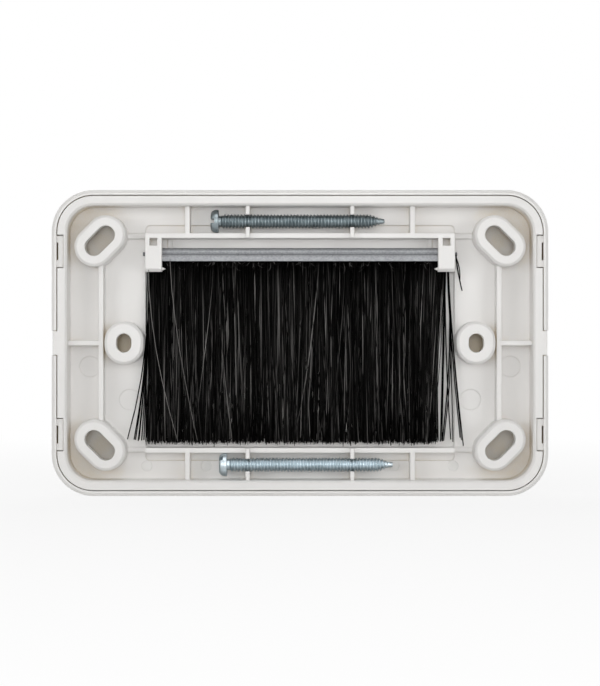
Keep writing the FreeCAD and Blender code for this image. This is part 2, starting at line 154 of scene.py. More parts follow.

# Loose bristles, in millimetres: X and height of the root, X and height of the tip, how late the bristle
# bends towards its tip, how far its middle bows along X and its depth from the wall plane, which make up its
# line, and then its share of the common thickness and its tone, the strength of a painted highlight
LINE_COLUMNS = 7
LOOSE_BRISTLES = (
    (36.20, 20.2, 41.6, -23.2, 2.3, 0.0, 5.2, 1.7, 0.0),
    (36.30, 20.2, 40.0, -23.3, 2.2, 0.0, 5.5, 1.7, 0.0),
    (36.40, 20.2, 39.7, -23.4, 2.2, 0.0, 5.8, 1.7, 0.0),
    (36.35, 20.2, 39.0, -23.6, 2.0, 0.0, 5.3, 1.7, 0.0),
    (36.45, 20.2, 38.8, -23.3, 2.0, 0.0, 5.9, 1.7, 0.0),
    (36.40, 20.2, 38.2, -23.5, 1.8, 0.0, 5.6, 1.7, 0.0),
    (36.45, 20.2, 37.7, -23.4, 1.6, 0.0, 6.1, 1.7, 0.0),
    (-35.60, 20.2, -38.9, -23.4, 1.3, 0.0, 5.2, 1.7, 0.0),
    (-35.45, 20.2, -38.6, -22.8, 1.4, 0.0, 5.5, 1.7, 0.0),
    (-35.70, 20.2, -39.4, -24.8, 1.4, 0.0, 5.6, 1.7, 0.0),
    (-35.50, 20.2, -36.9, -23.9, 0.6, 0.0, 5.8, 1.7, 0.0),
    (-35.40, 20.2, -34.6, -23.6, 1.0, -1.4, 5.1, 1.7, 0.0),
    (-35.60, 20.2, -34.3, -23.7, 1.0, -1.1, 5.3, 1.7, 0.0),
    (-35.00, 20.2, -36.4, -23.3, 2.2, 0.0, 6.2, 1.7, 0.0),
    (-35.15, 20.2, -34.2, -23.5, 1.0, 0.0, 5.6, 1.7, 0.0),
    (-34.90, 20.2, -33.9, -23.8, 1.3, 0.0, 6.0, 1.7, 0.0),
    (-37.60, 21.3, -39.1, 12.6, 1.4, 0.0, 5.6, 1.7, 0.0),
    (-37.50, 21.2, -38.6, 15.2, 1.1, -0.4, 5.8, 1.7, 0.0),
    (36.40, 20.2, 29.3, -23.6, 1.7, 0.3, 3.0, 0.8, 0.9),
    (31.20, 20.2, 24.6, -23.4, 1.5, 0.0, 3.0, 0.8, 0.7),
)

# Screw head: radius of its flat and of a ring within the drive, height of the plain rim, height and width
# of the chamfer below, nodes across an arm and a land of the drive, angles of the dome's rings, the angle of
# a sharp edge, and marks for the parts of a ring
HEAD_FLAT = 1.7 * MM
DRIVE_RING = 1.2 * MM
HEAD_RIM = 0.6 * MM
CHAMFER_HEIGHT = 0.15 * MM
CHAMFER_WIDTH = 0.12 * MM
ARM_NODES = 3
LAND_NODES = 7
DOME_ANGLES = np.linspace(0.2, math.pi / 2, 6)
SHARP_EDGE = math.radians(38)
LAND, SLOT, CROSS = 0, 1, 2

# Screw shank: length of the neck, of the stretch where the thread rises, of the narrowing and of the nose,
# the gap before the first ring of thread and after the last ring, and rings along the neck, one turn and
# the nose
NECK = 0.6 * MM
THREAD_RISE = 0.5 * MM
NARROWING = 2.2 * MM
NOSE = 1.75 * MM
RING_GAP = 0.1 * MM
NECK_RINGS = 4
TURN_RINGS = 8
NOSE_RINGS = 10

# Thread: steepness of its flanks, width of its valley, radii that are left at the nose, the power that the
# crest narrows with and how far the nose comes to a point
FLANK = 1.45
VALLEY = 0.2
NOSE_ROOT = 0.72 * MM
NOSE_CREST = 1.0 * MM
CREST_POWER = 1.5
POINT = 0.22 * MM

# Painted shade on white plastic, where walls stand round it and deep in a hole: how far walls count, and the
# shares of open view where its tone is full and gone. The hollow's warm painted shade, which stands in for
# light bounced round inside a hole, sets in between two heights over the lowest edge.
RECESS_REACH = 25 * MM
RECESS_VIEW = (0.76, 0.96)
HOLLOW_REACH = 8 * MM
HOLLOW_VIEW = (0.03, 0.25)
HOLLOW_HEIGHTS = (1 * MM, 4 * MM)

# Patterns of the finishes, in cells to the metre
PLASTIC_CLOUD = 45
PLASTIC_DRIFT = 160
FINE_GRAIN = 2600
STRIP_SPECKLE = 2800
STRIP_CLOUD = 600
WIRE_DRIFT = 700
SCREW_CLOUD = 800
SCREW_GRAIN = 2400

# Gloss and relief of the finishes: refraction, metal, ranges of roughness and depths of the grain
PLASTIC_IOR = 1.52
PLASTIC_RELIEF = 0.02 * MM
STRIP_METAL = 0.6
STRIP_ROUGH = (0.50, 0.64)
STRIP_RELIEF = 0.04 * MM
STRIP_EDGE = 0.08 * MM
WIRE_ROUGH = (0.5, 0.3)
SCREW_ROUGH = (0.28, 0.44)
BRISTLE_ROUGH = 0.45
BRISTLE_GLOSS = 0.02

# Painted shade in the strip's groove: how strong it is, and the distances from the groove's middle where it
# starts to fade and where it is gone
GROOVE_SHADE_STRENGTH = 0.8
GROOVE_EDGES = (0.05 * MM, 0.20 * MM)

# Samples of the rounded edges and of the shelter
EDGE_SAMPLES = 6
SHELTER_SAMPLES = 8

# Lamps on the side of the wall, which the side of the hood mirrors: name, setting of the power, size and
# place
LAMPS = (
    ("key", "key_power", 0.20, (0.0, 0.75, 0.20)),
    ("front", "front_power", 0.20, (0.0, 0.75, 0.0)),
    ("top", "top_power", 0.30, (0.05, 0.35, 0.62)),
    ("left", "side_power", 0.30, (-0.55, 0.55, 0.08)),
    ("right", "side_power", 0.30, (0.55, 0.55, 0.08)),
)

# Floor: tone, roughness, how much it glows beside the plate and the distances between which that grows to
# all of it
FLOOR_TONE = (0.9, 0.9, 0.9, 1.0)
FLOOR_ROUGH = 0.9
FLOOR_GLOW = 0.85
GLOW_DISTANCES = (0.08, 0.30)

# Colour of the glow and of the surroundings
WHITE = (1.0, 1.0, 1.0, 1.0)

# Nearest and farthest things that the camera sees
CAMERA_NEAR = 0.01
CAMERA_FAR = 20.0


def length(name, description, default):
    """A length setting in metres."""
    return bpy.props.FloatProperty(name=name, description=description, default=default, min=0.0,
                                   precision=6, unit="LENGTH")


def number(name, description, default):
    """A plain number setting."""
    return bpy.props.FloatProperty(name=name, description=description, default=default, min=0.0)


def whole_number(name, description, default, least):
    """A setting that counts."""
    return bpy.props.IntProperty(name=name, description=description, default=default, min=least)


def colour(name, description, default):
    """A colour setting, as linear red, green and blue."""
    return bpy.props.FloatVectorProperty(name=name, description=description, default=default, size=3,
                                         min=0.0, max=1.0, subtype="COLOR")


class BrushSettings(bpy.types.PropertyGroup):
    """Sizes of the bristle curtain."""

    bristles: whole_number("Bristles", "Bristles in the curtain", 3300, 1)
    fibres: whole_number("Fibres", "Short fibres under the channel", 260, 0)
    rings: whole_number("Rings", "Rings along one bristle", 7, 2)
    seed: whole_number("Seed", "Start of the random draws", 7, 0)
    diameter: length("Diameter", "Thickness of one bristle", 0.20 * MM)
    clump: length("Clump width", "Width of bristles that lean together", 1.3 * MM)
    sway: length("Sway", "How far a clump leans aside at its tip", 0.55 * MM)
    stray: length("Stray", "How far one bristle leans aside at its tip", 0.95 * MM)
    ragged: length("Raggedness", "How unevenly the tips are cut", 0.40 * MM)
    edge_gap: length("Edge gap", "Bare stretch at the end where the curtain thins out", 2.0 * MM)


class ScrewSettings(bpy.types.PropertyGroup):
    """Sizes of the spare screws."""

    pitch: length("Pitch", "Distance between two turns of the thread", 0.794 * MM)
    crest: length("Crest diameter", "Diameter over the thread", 3.4 * MM)
    root: length("Root diameter", "Diameter at the bottom of the thread", 2.6 * MM)
    body: length("Length", "Length over head and nose", 41.7 * MM)
    head: length("Head diameter", "Diameter of the head", 5.5 * MM)
    head_height: length("Head height", "Height of the head", 1.9 * MM)
    slot_width: length("Slot width", "Width of the slot and of the cross", 1.0 * MM)
    slot_depth: length("Slot depth", "Depth of the slot and of the cross", 0.95 * MM)
    cross: length("Cross length", "Length of the short arm of the drive", 3.2 * MM)
    lower_turn: bpy.props.FloatProperty(name="Lower turn", description="Turn of the lower screw's slot",
                                        default=math.radians(40), unit="ROTATION")


class FinishSettings(bpy.types.PropertyGroup):
    """Colours of the finishes."""

    base_light: colour("Base, light", "Brighter tone of the base moulding", (0.87, 0.858, 0.84))
    base_shade: colour("Base, shade", "Duller tone of the base moulding", (0.835, 0.822, 0.80))
    cover_light: colour("Cover, light", "Brighter tone of the surround", (0.86, 0.85, 0.83))
    cover_shade: colour("Cover, shade", "Duller tone of the surround", (0.835, 0.825, 0.80))
    # Painted shade: the duller tone that white plastic takes where walls stand round it
    recess: colour("Recess", "Tone of white plastic where walls stand round it", (0.825, 0.81, 0.79))
    # Painted shade: the warm tone deep inside a hole stands in for light bounced round inside it
    hollow: colour("Hollow", "Warm tone of white plastic deep inside a hole", (0.74, 0.60, 0.37))
    strip_light: colour("Strip, light", "Scuffed zinc of the brush channel", (0.39, 0.40, 0.415))
    strip_shade: colour("Strip, shade", "Dull zinc of the brush channel", (0.265, 0.272, 0.283))
    # Painted shade: the dark line along the brush channel's groove
    strip_groove_shade: colour("Strip, groove", "Dirt in the brush channel's groove", (0.075, 0.078, 0.083))
    wire_light: colour("Core wire, light", "Bright steel of the core wire", (0.12, 0.12, 0.125))
    wire_shade: colour("Core wire, shade", "Dull steel of the core wire", (0.08, 0.08, 0.085))
    # Painted light and shade: lit and shaded copies of one zinc, the lower screw's painted lighter as lit
    # and the upper screw's painted darker as shaded
    lit_screw_zinc_light: colour("Screw, light", "Bright zinc of the lower screw", (0.58, 0.655, 0.70))
    lit_screw_zinc_shade: colour("Screw, shade", "Dull zinc of the lower screw", (0.46, 0.53, 0.565))
    shaded_screw_zinc_light: colour("Dull screw, light", "Bright zinc of the upper screw", (0.34, 0.39, 0.41))
    shaded_screw_zinc_shade: colour("Dull screw, shade", "Dull zinc of the upper screw", (0.22, 0.26, 0.275))
    # The bristles' tone runs from plain dark nylon to a painted highlight where a bristle catches the light
    bristle_dark: colour("Bristle, dark", "Bristles in the shade", (0.0003, 0.0003, 0.0003))
    bristle_light: colour("Bristle, light", "Bristles that catch the light", (0.30, 0.29, 0.28))


class StageSettings(bpy.types.PropertyGroup):
    """Camera, lamps and floor."""

    distance: length("Camera distance", "Camera to the wall plane", 0.45)
    plate_share: number("Plate share", "Share of the picture's width that the plate fills", 0.829)
    key_power: number("Key power", "Watts of a lamp above the camera", 0.45)
    front_power: number("Front power", "Watts of a lamp behind the camera", 0.95)
    top_power: number("Top power", "Watts of a lamp high above the plate", 0.60)
    side_power: number("Side power", "Watts of a lamp at either side", 0.98)
    room_light: number("Room light", "Strength of the even light from all round", 0.30)
    floor_half: length("Floor half width", "Half the width of the floor", 1.5)


# Meshes

def put_mesh(name, points, faces, material, merge=False):
    """Object at the origin from an array of points and a list of faces. It rides on the one body."""
    mesh = bpy.data.meshes.new(name)
    mesh.from_pydata(points.reshape(-1, 3).tolist(), [], faces)
    if merge:
        form = bmesh.new()
        form.from_mesh(mesh)
        bmesh.ops.remove_doubles(form, verts=form.verts, dist=MERGE_DISTANCE)
        form.to_mesh(mesh)
        form.free()
    mesh.shade_smooth()
    mesh.materials.append(material)
    piece = bpy.data.objects.new(name, mesh)
    bpy.context.scene.collection.objects.link(piece)
    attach(piece, "root")
    return piece


def grid_faces(rings, around):
    """Quads between neighbouring rings of a closed grid, with the last node joined to the first."""
    ring, node = np.meshgrid(np.arange(rings - 1), np.arange(around), indexing="ij")
    after = (node + 1) % around
    corners = (ring * around + node, (ring + 1) * around + node,
               (ring + 1) * around + after, ring * around + after)
    return np.stack(corners, axis=-1).reshape(-1, 4)


def pole_faces(rings, around):
    """Triangles from the first ring to a pole before it and from the last ring to a pole after it.
    The poles are the two points that follow the grid's own."""
    node = np.arange(around)
    after = (node + 1) % around
    last = (rings - 1) * around
    first_pole = np.full(around, rings * around)
    last_pole = first_pole + 1
    start = np.stack((first_pole, node, after), axis=-1)
    end = np.stack((last + node, last_pole, last + after), axis=-1)
    return np.concatenate((start, end))


def square_tubes(centres, radii, turns):
    """Four-sided tubes round many centre lines at once. A corner lies off its ring's centre, level in X and
    Y, by the radius times the cosine and sine of the tube's turn plus a quarter turn for each corner."""
    tubes, rings = centres.shape[:2]
    angles = turns[:, None] + np.arange(4) * math.pi / 2
    level = np.stack((np.cos(angles), np.sin(angles), np.zeros_like(angles)), axis=-1)
    points = centres[:, :, None, :] + radii[:, :, None, None] * level[:, None, :, :]
    side = grid_faces(rings, 4)
    ends = np.array(((0, 1, 2, 3), np.arange(rings * 4 - 1, rings * 4 - 5, -1)))
    one_tube = np.concatenate((side, ends))
    faces = one_tube[None] + (np.arange(tubes) * rings * 4)[:, None, None]
    return points, faces.reshape(-1, 4).tolist()


# Materials

def start_material(name):
    """New node material; gives the material, its tree, its shader and the object coordinates."""
    material = bpy.data.materials.new(name)
    material.use_nodes = True
    tree = material.node_tree
    place = tree.nodes.new("ShaderNodeTexCoord").outputs["Object"]
    return material, tree, tree.nodes["Principled BSDF"], place


def add_node(tree, kind, values):
    """New node with the given input values."""
    made = tree.nodes.new(kind)
    for name, value in values.items():
        made.inputs[name].default_value = value
    return made


def noise(tree, place, cells, detail, along=1.0):
    """Noise of so many cells to the metre, or only the given share of them along X."""
    mapping = add_node(tree, "ShaderNodeMapping", {"Scale": (along, 1.0, 1.0)})
    tree.links.new(place, mapping.inputs["Vector"])
    made = add_node(tree, "ShaderNodeTexNoise", {"Scale": cells, "Detail": detail})
    tree.links.new(mapping.outputs["Vector"], made.inputs["Vector"])
    return made.outputs[0]


def between(tree, factor, low, high, start=0.3, end=0.7):
    """Number that runs from low to high as the factor goes from start to end."""
    limits = {"From Min": start, "From Max": end, "To Min": low, "To Max": high}
    made = add_node(tree, "ShaderNodeMapRange", limits)
    tree.links.new(factor, made.inputs["Value"])
    return made.outputs["Result"]


def blend(tree, factor, first, second, start=0.3, end=0.7):
    """Colour that runs from the first to the second as the factor goes from start to end."""
    ramp = tree.nodes.new("ShaderNodeValToRGB")
    for stop, place, tone in zip(ramp.color_ramp.elements, (start, end), (first, second)):
        stop.position = place
        stop.color = (*tone, 1.0)
    tree.links.new(factor, ramp.inputs["Fac"])
    return ramp.outputs["Color"]


def reckon(tree, operation, first, second):
    """Value of a sum on one node's output and a number or another node's output."""
    made = tree.nodes.new("ShaderNodeMath")
    made.operation = operation
    tree.links.new(first, made.inputs[0])
    if isinstance(second, float):
        made.inputs[1].default_value = second
    else:
        tree.links.new(second, made.inputs[1])
    return made.outputs["Value"]


def height_of(tree, place):
    """Height of a place."""
    parts = tree.nodes.new("ShaderNodeSeparateXYZ")
    tree.links.new(place, parts.inputs["Vector"])
    return parts.outputs["Z"]


def bump(tree, shader, height, strength, distance, edge=0.0):
    """Small relief on the shader's normal. Where an edge size is given, sharp edges are first shaded as if
    they were rounded by that much."""
    made = add_node(tree, "ShaderNodeBump", {"Strength": strength, "Distance": distance})
    tree.links.new(height, made.inputs["Height"])
    if edge > 0:
        soft = add_node(tree, "ShaderNodeBevel", {"Radius": edge})
        soft.samples = EDGE_SAMPLES
        tree.links.new(soft.outputs["Normal"], made.inputs["Normal"])
    tree.links.new(made.outputs["Normal"], shader.inputs["Normal"])


def tinted(tree, base, factor, tone):
    """The base colour, mixed with a plain tone by the factor."""
    made = tree.nodes.new("ShaderNodeMix")
    made.data_type = "RGBA"
    made.inputs["B"].default_value = (*tone, 1.0)
    tree.links.new(factor, made.inputs["Factor"])
    tree.links.new(base, made.inputs["A"])
    return made.outputs["Result"]


def sheltered(tree, reach, view, alone):
    """One where faces within the reach leave open the first share of the view or less, and none where they
    leave the second share or more. Alone, only the piece's own faces count."""
    made = add_node(tree, "ShaderNodeAmbientOcclusion", {"Distance": reach})
    made.samples = SHELTER_SAMPLES
    made.only_local = alone
    return between(tree, made.outputs["AO"], 1.0, 0.0, *view)


def moulded_plastic(name, light, shade, recess, hollow, alone, rough, spread, grain, edge):
    """White plastic: faint cloudy tone, with painted shade between walls and a warm painted shade deep
    inside a hole, which stands in for light bounced round inside it, but not at the lowest edge, which
    stands on the floor.
    Its roughness drifts by the spread to either side, and it has the mould's grain."""
    material, tree, shader, place = start_material(name)
    cloud = blend(tree, noise(tree, place, PLASTIC_CLOUD, detail=3), shade, light)
    # Painted shade where walls stand round the plastic
    dull = tinted(tree, cloud, sheltered(tree, RECESS_REACH, RECESS_VIEW, alone=True), recess)
    # Warm painted shade deep inside a hole, for light bounced round inside it, kept off the lowest edge
    start, full = (CAD_LOW.z + rise for rise in HOLLOW_HEIGHTS)
    lifted = between(tree, height_of(tree, place), 0.0, 1.0, start, full)
    deep = reckon(tree, "MULTIPLY", sheltered(tree, HOLLOW_REACH, HOLLOW_VIEW, alone), lifted)
    warm = tinted(tree, dull, deep, hollow)
    tree.links.new(warm, shader.inputs["Base Color"])
    drift = noise(tree, place, PLASTIC_DRIFT, detail=2)
    tree.links.new(between(tree, drift, rough - spread, rough + spread), shader.inputs["Roughness"])
    shader.inputs["IOR"].default_value = PLASTIC_IOR
    bump(tree, shader, noise(tree, place, FINE_GRAIN, detail=2), grain, PLASTIC_RELIEF, edge)
    return material


def galvanised_steel(name, light, shade, groove, line):
    """Zinc on a folded strip: fine speckle, painted shade along the groove at the line's height and cloudy
    roughness.
    """
    material, tree, shader, place = start_material(name)
    speckle = noise(tree, place, STRIP_SPECKLE, detail=4, along=0.7)
    tone = blend(tree, speckle, shade, light, start=0.30, end=0.72)
    apart = reckon(tree, "ABSOLUTE", reckon(tree, "SUBTRACT", height_of(tree, place), line), 0.0)
    # Painted shade along the groove's line
    groove_shade = between(tree, apart, GROOVE_SHADE_STRENGTH, 0.0, *GROOVE_EDGES)
    tree.links.new(tinted(tree, tone, groove_shade, groove), shader.inputs["Base Color"])
    cloud = noise(tree, place, STRIP_CLOUD, detail=3)
    tree.links.new(between(tree, cloud, *STRIP_ROUGH), shader.inputs["Roughness"])
    shader.inputs["Metallic"].default_value = STRIP_METAL
    grain = noise(tree, place, FINE_GRAIN, detail=3, along=0.6)
    bump(tree, shader, grain, strength=0.25, distance=STRIP_RELIEF, edge=STRIP_EDGE)
    return material


def drawn_wire(name, light, shade):
    """Drawn steel with dull stretches along its length."""
    material, tree, shader, place = start_material(name)
    drift = noise(tree, place, WIRE_DRIFT, detail=2, along=0.2)
    tree.links.new(blend(tree, drift, shade, light), shader.inputs["Base Color"])
    tree.links.new(between(tree, drift, *WIRE_ROUGH), shader.inputs["Roughness"])
    shader.inputs["Metallic"].default_value = 1.0
    return material


def zinc_plate(name, light, shade):
    """Bluish zinc plating: cloudy tone and a fine roughness."""
    material, tree, shader, place = start_material(name)
    cloud = noise(tree, place, SCREW_CLOUD, detail=3, along=0.5)
    tree.links.new(blend(tree, cloud, shade, light), shader.inputs["Base Color"])
    grain = noise(tree, place, SCREW_GRAIN, detail=2)
    tree.links.new(between(tree, grain, *SCREW_ROUGH), shader.inputs["Roughness"])
    shader.inputs["Metallic"].default_value = 1.0
    return material


def black_nylon(name, dark, light):
    """Black filament whose tone is the bristle's own attribute, where high tones are painted highlights."""
    material, tree, shader, _ = start_material(name)
    tone = tree.nodes.new("ShaderNodeAttribute")
    tone.attribute_name = "tone"
    colour_of_tone = blend(tree, tone.outputs["Fac"], dark, light, start=0.0, end=1.0)
    tree.links.new(colour_of_tone, shader.inputs["Base Color"])
    shader.inputs["Roughness"].default_value = BRISTLE_ROUGH
    shader.inputs["Specular IOR Level"].default_value = BRISTLE_GLOSS
    return material


def dress(node, material):
    """Gives a solid of the frame its finish."""
    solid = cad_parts.get(node)
    if solid is None:
        raise RuntimeError(f"the frame has no node named {node}")
    solid.data.materials.clear()
    solid.data.materials.append(material)


# Pieces

class BRUSH_OT_base_plate(bpy.types.Operator):
    """Finishes the base moulding"""

    bl_idname = "brush.base_plate"
    bl_label = "Base plate"

    def execute(self, context):
        tones = context.scene.brush_finish
        white = moulded_plastic("base_plastic", tones.base_light, tones.base_shade, tones.recess,
                                tones.hollow, alone=True, rough=0.34, spread=0.05, grain=0.22,
                                edge=0.38 * MM)
        dress("base_plate", white)
        return {"FINISHED"}


class BRUSH_OT_surround_cover(bpy.types.Operator):
    """Finishes the clip-on surround"""

    bl_idname = "brush.surround_cover"
    bl_label = "Surround"

    def execute(self, context):
        tones = context.scene.brush_finish
        white = moulded_plastic("cover_plastic", tones.cover_light, tones.cover_shade, tones.recess,
                                tones.hollow, alone=False, rough=0.32, spread=0.035, grain=0.10,
                                edge=0.15 * MM)
        dress("surround_cover", white)
        return {"FINISHED"}


class BRUSH_OT_ejector_marks(bpy.types.Operator):
    """Adds the small round ejector marks in the lower strip of the tray"""

    bl_idname = "brush.ejector_marks"
    bl_label = "Small ejector marks"

    def execute(self, context):
        points, faces = self.discs()
        put_mesh("small_ejector_marks", points, faces, bpy.data.materials["base_plastic"])
        return {"FINISHED"}

    @staticmethod
    def discs():
        """Low discs on the floor: in X and Z a node lies off the middle by its ring's radius times the
        cosine and the sine of its angle, and it stands off the floor by its ring's rise."""
        radii = np.array(MARK_RADII)
        rises = np.array(MARK_RISES)
        angle = np.linspace(0, 2 * math.pi, MARK_NODES, endpoint=False)
        ring = np.stack((np.outer(radii, np.cos(angle)), np.outer(rises, np.ones_like(angle)),
                         -np.outer(radii, np.sin(angle))), axis=-1)
        ring = ring + np.array((0, TRAY_FLOOR, 0))
        poles = np.array(((0, TRAY_FLOOR + rises[0], 0), (0, TRAY_FLOOR + rises[-1], 0)))
        one_disc = np.concatenate((ring.reshape(-1, 3), poles))
        middles = np.array([(x, 0, MARK_Z) for x in MARK_X])
        points = one_disc[None] + middles[:, None]
        step = (np.arange(len(middles)) * len(one_disc))[:, None, None]
        quads = grid_faces(len(radii), len(angle))[None] + step
        fans = pole_faces(len(radii), len(angle))[None] + step
        return points, quads.reshape(-1, 4).tolist() + fans.reshape(-1, 3).tolist()


class BRUSH_OT_brush_strip(bpy.types.Operator):
    """Finishes the crimped channel and its core wire"""

    bl_idname = "brush.brush_strip"
    bl_label = "Brush channel and core wire"

    def execute(self, context):
        tones = context.scene.brush_finish
        line = (CHANNEL_LOW.z + CHANNEL_HIGH.z) / 2
        zinc = galvanised_steel("galvanised_strip", tones.strip_light, tones.strip_shade,
                                tones.strip_groove_shade, line)
        dress("brush_channel", zinc)
        dress("brush_core_wire", drawn_wire("core_wire", tones.wire_light, tones.wire_shade))
        return {"FINISHED"}


class BRUSH_OT_bristles(bpy.types.Operator):
    """Makes the bristle curtain, one filament at a time"""

    bl_idname = "brush.bristles"
    bl_label = "Bristle curtain"

    def execute(self, context):
        brush = context.scene.brush_bristles
        tones = context.scene.brush_finish
        draws = np.random.default_rng(brush.seed)
        curtain = self.curtain(brush, draws)
        loose = self.loose(brush)
        fuzz = self.fuzz(brush, draws)
        centres = np.concatenate((curtain, loose, fuzz))
        thick, tone_of_loose = np.array(LOOSE_BRISTLES).T[LINE_COLUMNS:]
        scale = np.concatenate((np.ones(len(curtain)), thick, np.full(len(fuzz), FIBRE_SHARE)))
        radius = brush.diameter / 2 * scale * draws.uniform(*THICKNESS_RANGE, len(centres))
        turns = draws.uniform(0, math.pi / 2, len(centres))
        taper = np.linspace(1.0, TIP_SHARE, brush.rings)
        points, faces = square_tubes(centres, radius[:, None] * taper[None], turns)
        material = black_nylon("black_nylon", tones.bristle_dark, tones.bristle_light)
        piece = put_mesh("bristle_curtain", points, faces, material)
        tone = self.tone(brush, draws, centres[:, 0, 0])
        # Painted shade: roots stay dark inside the channel
        tone[:, 0] = 0.0
        tone[len(curtain):len(curtain) + len(loose)] = tone_of_loose[:, None]
        attribute = piece.data.attributes.new("tone", "FLOAT", "POINT")
        attribute.data.foreach_set("value", np.repeat(tone.ravel(), 4).astype(np.float32))
        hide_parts("brush_bristles")
        return {"FINISHED"}

    @staticmethod
    def tone(brush, draws, root_x):
        """How much light each ring of each bristle gives back, as colour: a low even part, and on some
        bristles a
            painted highlight along a stretch, which falls off like a bell curve along the way down. Some
            clumps have many of these."""
        count = len(root_x)
        way = np.linspace(0, 1, brush.rings)[None]
        even = draws.gamma(EVEN_SHAPE, EVEN_SCALE, count)[:, None]
        member = ((root_x - root_x.min()) / brush.clump).astype(int)
        share = draws.uniform(*HIGHLIT_SHARE, member.max() + 1)[member]
        highlit = (draws.random(count) < share)[:, None]
        peak = draws.uniform(*HIGHLIGHT_PEAK, count)[:, None]
        middle = draws.uniform(*HIGHLIGHT_MIDDLE, count)[:, None]
        width = draws.uniform(*HIGHLIGHT_WIDTH, count)[:, None]
        return np.clip(even + highlit * peak * np.exp(-((way - middle) / width) ** 2), 0, 1)

    @staticmethod
    def curtain(brush, draws):
        """Centre lines of the curtain. A bristle starts near an even spacing in X inside the channel and
        runs down to its own tip height. On the way it moves aside by its clump's lean and its own, both
        times a power of the way down, plus a bow and a pinch towards its clump's middle, which follow half
        a sine wave, and a ripple, which follows a whole one. Its depth goes from the narrow root to its
        place in the full thickness of the curtain, sags with its clump and weaves with the ripple. Bristles
        near the thin end draw in towards the middle. At the other end none passes the wall of the recess,
        but those that stand clear of the tray's floor hang over its edge a little."""
        low, high, count = BRISTLES_LOW, BRISTLES_HIGH, brush.bristles
        start = low.x + brush.edge_gap
        root_x = np.linspace(start, high.x, count) + draws.normal(0, brush.clump * ROOT_SCATTER, count)
        clumps = int((high.x - low.x) / brush.clump) + 2
        member = np.clip(((root_x - low.x) / brush.clump).astype(int), 0, clumps - 1)
        lean = draws.normal(0, brush.sway, clumps)[member] + draws.normal(0, brush.stray, count)
        wild = (draws.random(count) < WILD_SHARE) & (np.abs(root_x) < WILD_REACH)
        lean = np.where(wild, lean + draws.normal(0, WILD_LEAN, count), lean)
        to_middle = (member + 0.5) * brush.clump + low.x - root_x
        pinch = draws.uniform(*CLUMP_PINCH, clumps)[member] * to_middle
        bow = draws.normal(0, BOW, count) + draws.normal(0, CLUMP_BOW, clumps)[member]
        middle_y = (low.y + high.y) / 2
        half_y = (high.y - low.y) / 2
        spread = np.where(wild, WILD_DEPTH, draws.uniform(-1, 1, count))[:, None]
        sag = draws.normal(0, CLUMP_SAG, clumps)[member][:, None]
        weave = draws.normal(0, WEAVE, count)[:, None]
        tip_z = (low.z + TIP_LIFT + draws.normal(0, brush.ragged, count))[:, None]
        root_z = CHANNEL_LOW.z + ROOT_INSET
        way = np.linspace(0, 1, brush.rings)[None]
        arch = np.sin(math.pi * way)
        draw_in = np.clip(start + THIN_END - root_x, 0, None)[:, None] * DRAW_IN * way
        aside = lean[:, None] * way ** LEAN_POWER + (bow + pinch)[:, None] * arch
        ripple = draws.normal(0, RIPPLE, count)[:, None]
        phase = 2 * math.pi * (way + draws.random(count)[:, None])
        x = root_x[:, None] + aside + ripple * np.sin(phase) + draw_in
        opening = np.clip(way * GAIN_RATE, 0, 1)
        y = middle_y + half_y * spread * (ROOT_SHARE + SHARE_GAIN * opening) + sag * arch
        y = y + weave * np.cos(phase) * opening
        over = np.clip((y - TRAY_FLOOR) / OVERHANG_DEPTH - OVERHANG_START, 0, 1) * opening
        edge = EDGE_PLAY - np.abs(draws.normal(0, EDGE_SPREAD, count))[:, None]
        x = np.minimum(x, high.x + edge + OVERHANG * over)
        y = np.clip(y, low.y - HOOD_PLAY, high.y + WALL_PLAY)
        z = root_z + (tip_z - root_z) * way
        return np.stack((x, y, z), axis=-1)

    @staticmethod
    def loose(brush):
        """Centre lines of the loose bristles: X runs from root to tip with a power of the way down, which
        keeps a bristle clear of the screw boss beside it, plus a bow of half a sine wave."""
        lines = np.array(LOOSE_BRISTLES).T[:LINE_COLUMNS, :, None]
        root_x, root_z, tip_x, tip_z, late, bow, depth = lines
        way = np.linspace(0, 1, brush.rings)[None]
        x = root_x + (tip_x - root_x) * way ** late + bow * np.sin(math.pi * way)
        y = -depth * np.ones_like(way)
        z = root_z + (tip_z - root_z) * way
        return np.stack((x, y, z), axis=-1) * MM

    @staticmethod
    def fuzz(brush, draws):
        """Centre lines of short fibres under the channel: each leaves its root at an angle from straight
        down and curls by a turn that grows with the square of the way along it."""
        count = brush.fibres
        way = np.linspace(0, 1, brush.rings)[None]
        reach = draws.uniform(*FIBRE_REACH, count)[:, None]
        angle = draws.normal(0, FIBRE_ANGLE, count)[:, None]
        curl = draws.normal(0, FIBRE_CURL, count)[:, None]
        heading = angle + curl * way ** 2
        x = draws.uniform(BRISTLES_LOW.x + brush.edge_gap, BRISTLES_HIGH.x, count)[:, None]
        x = np.clip(x + reach * way * np.sin(heading), BRISTLES_LOW.x, BRISTLES_HIGH.x)
        y = BRISTLES_HIGH.y + draws.uniform(0, FIBRE_DEPTH, count)[:, None] * np.ones_like(way)
        root_z = CHANNEL_LOW.z + draws.uniform(*FIBRE_ROOT, count)[:, None]
        z = root_z - reach * way * np.cos(heading)
        return np.stack((x, y, z), axis=-1)


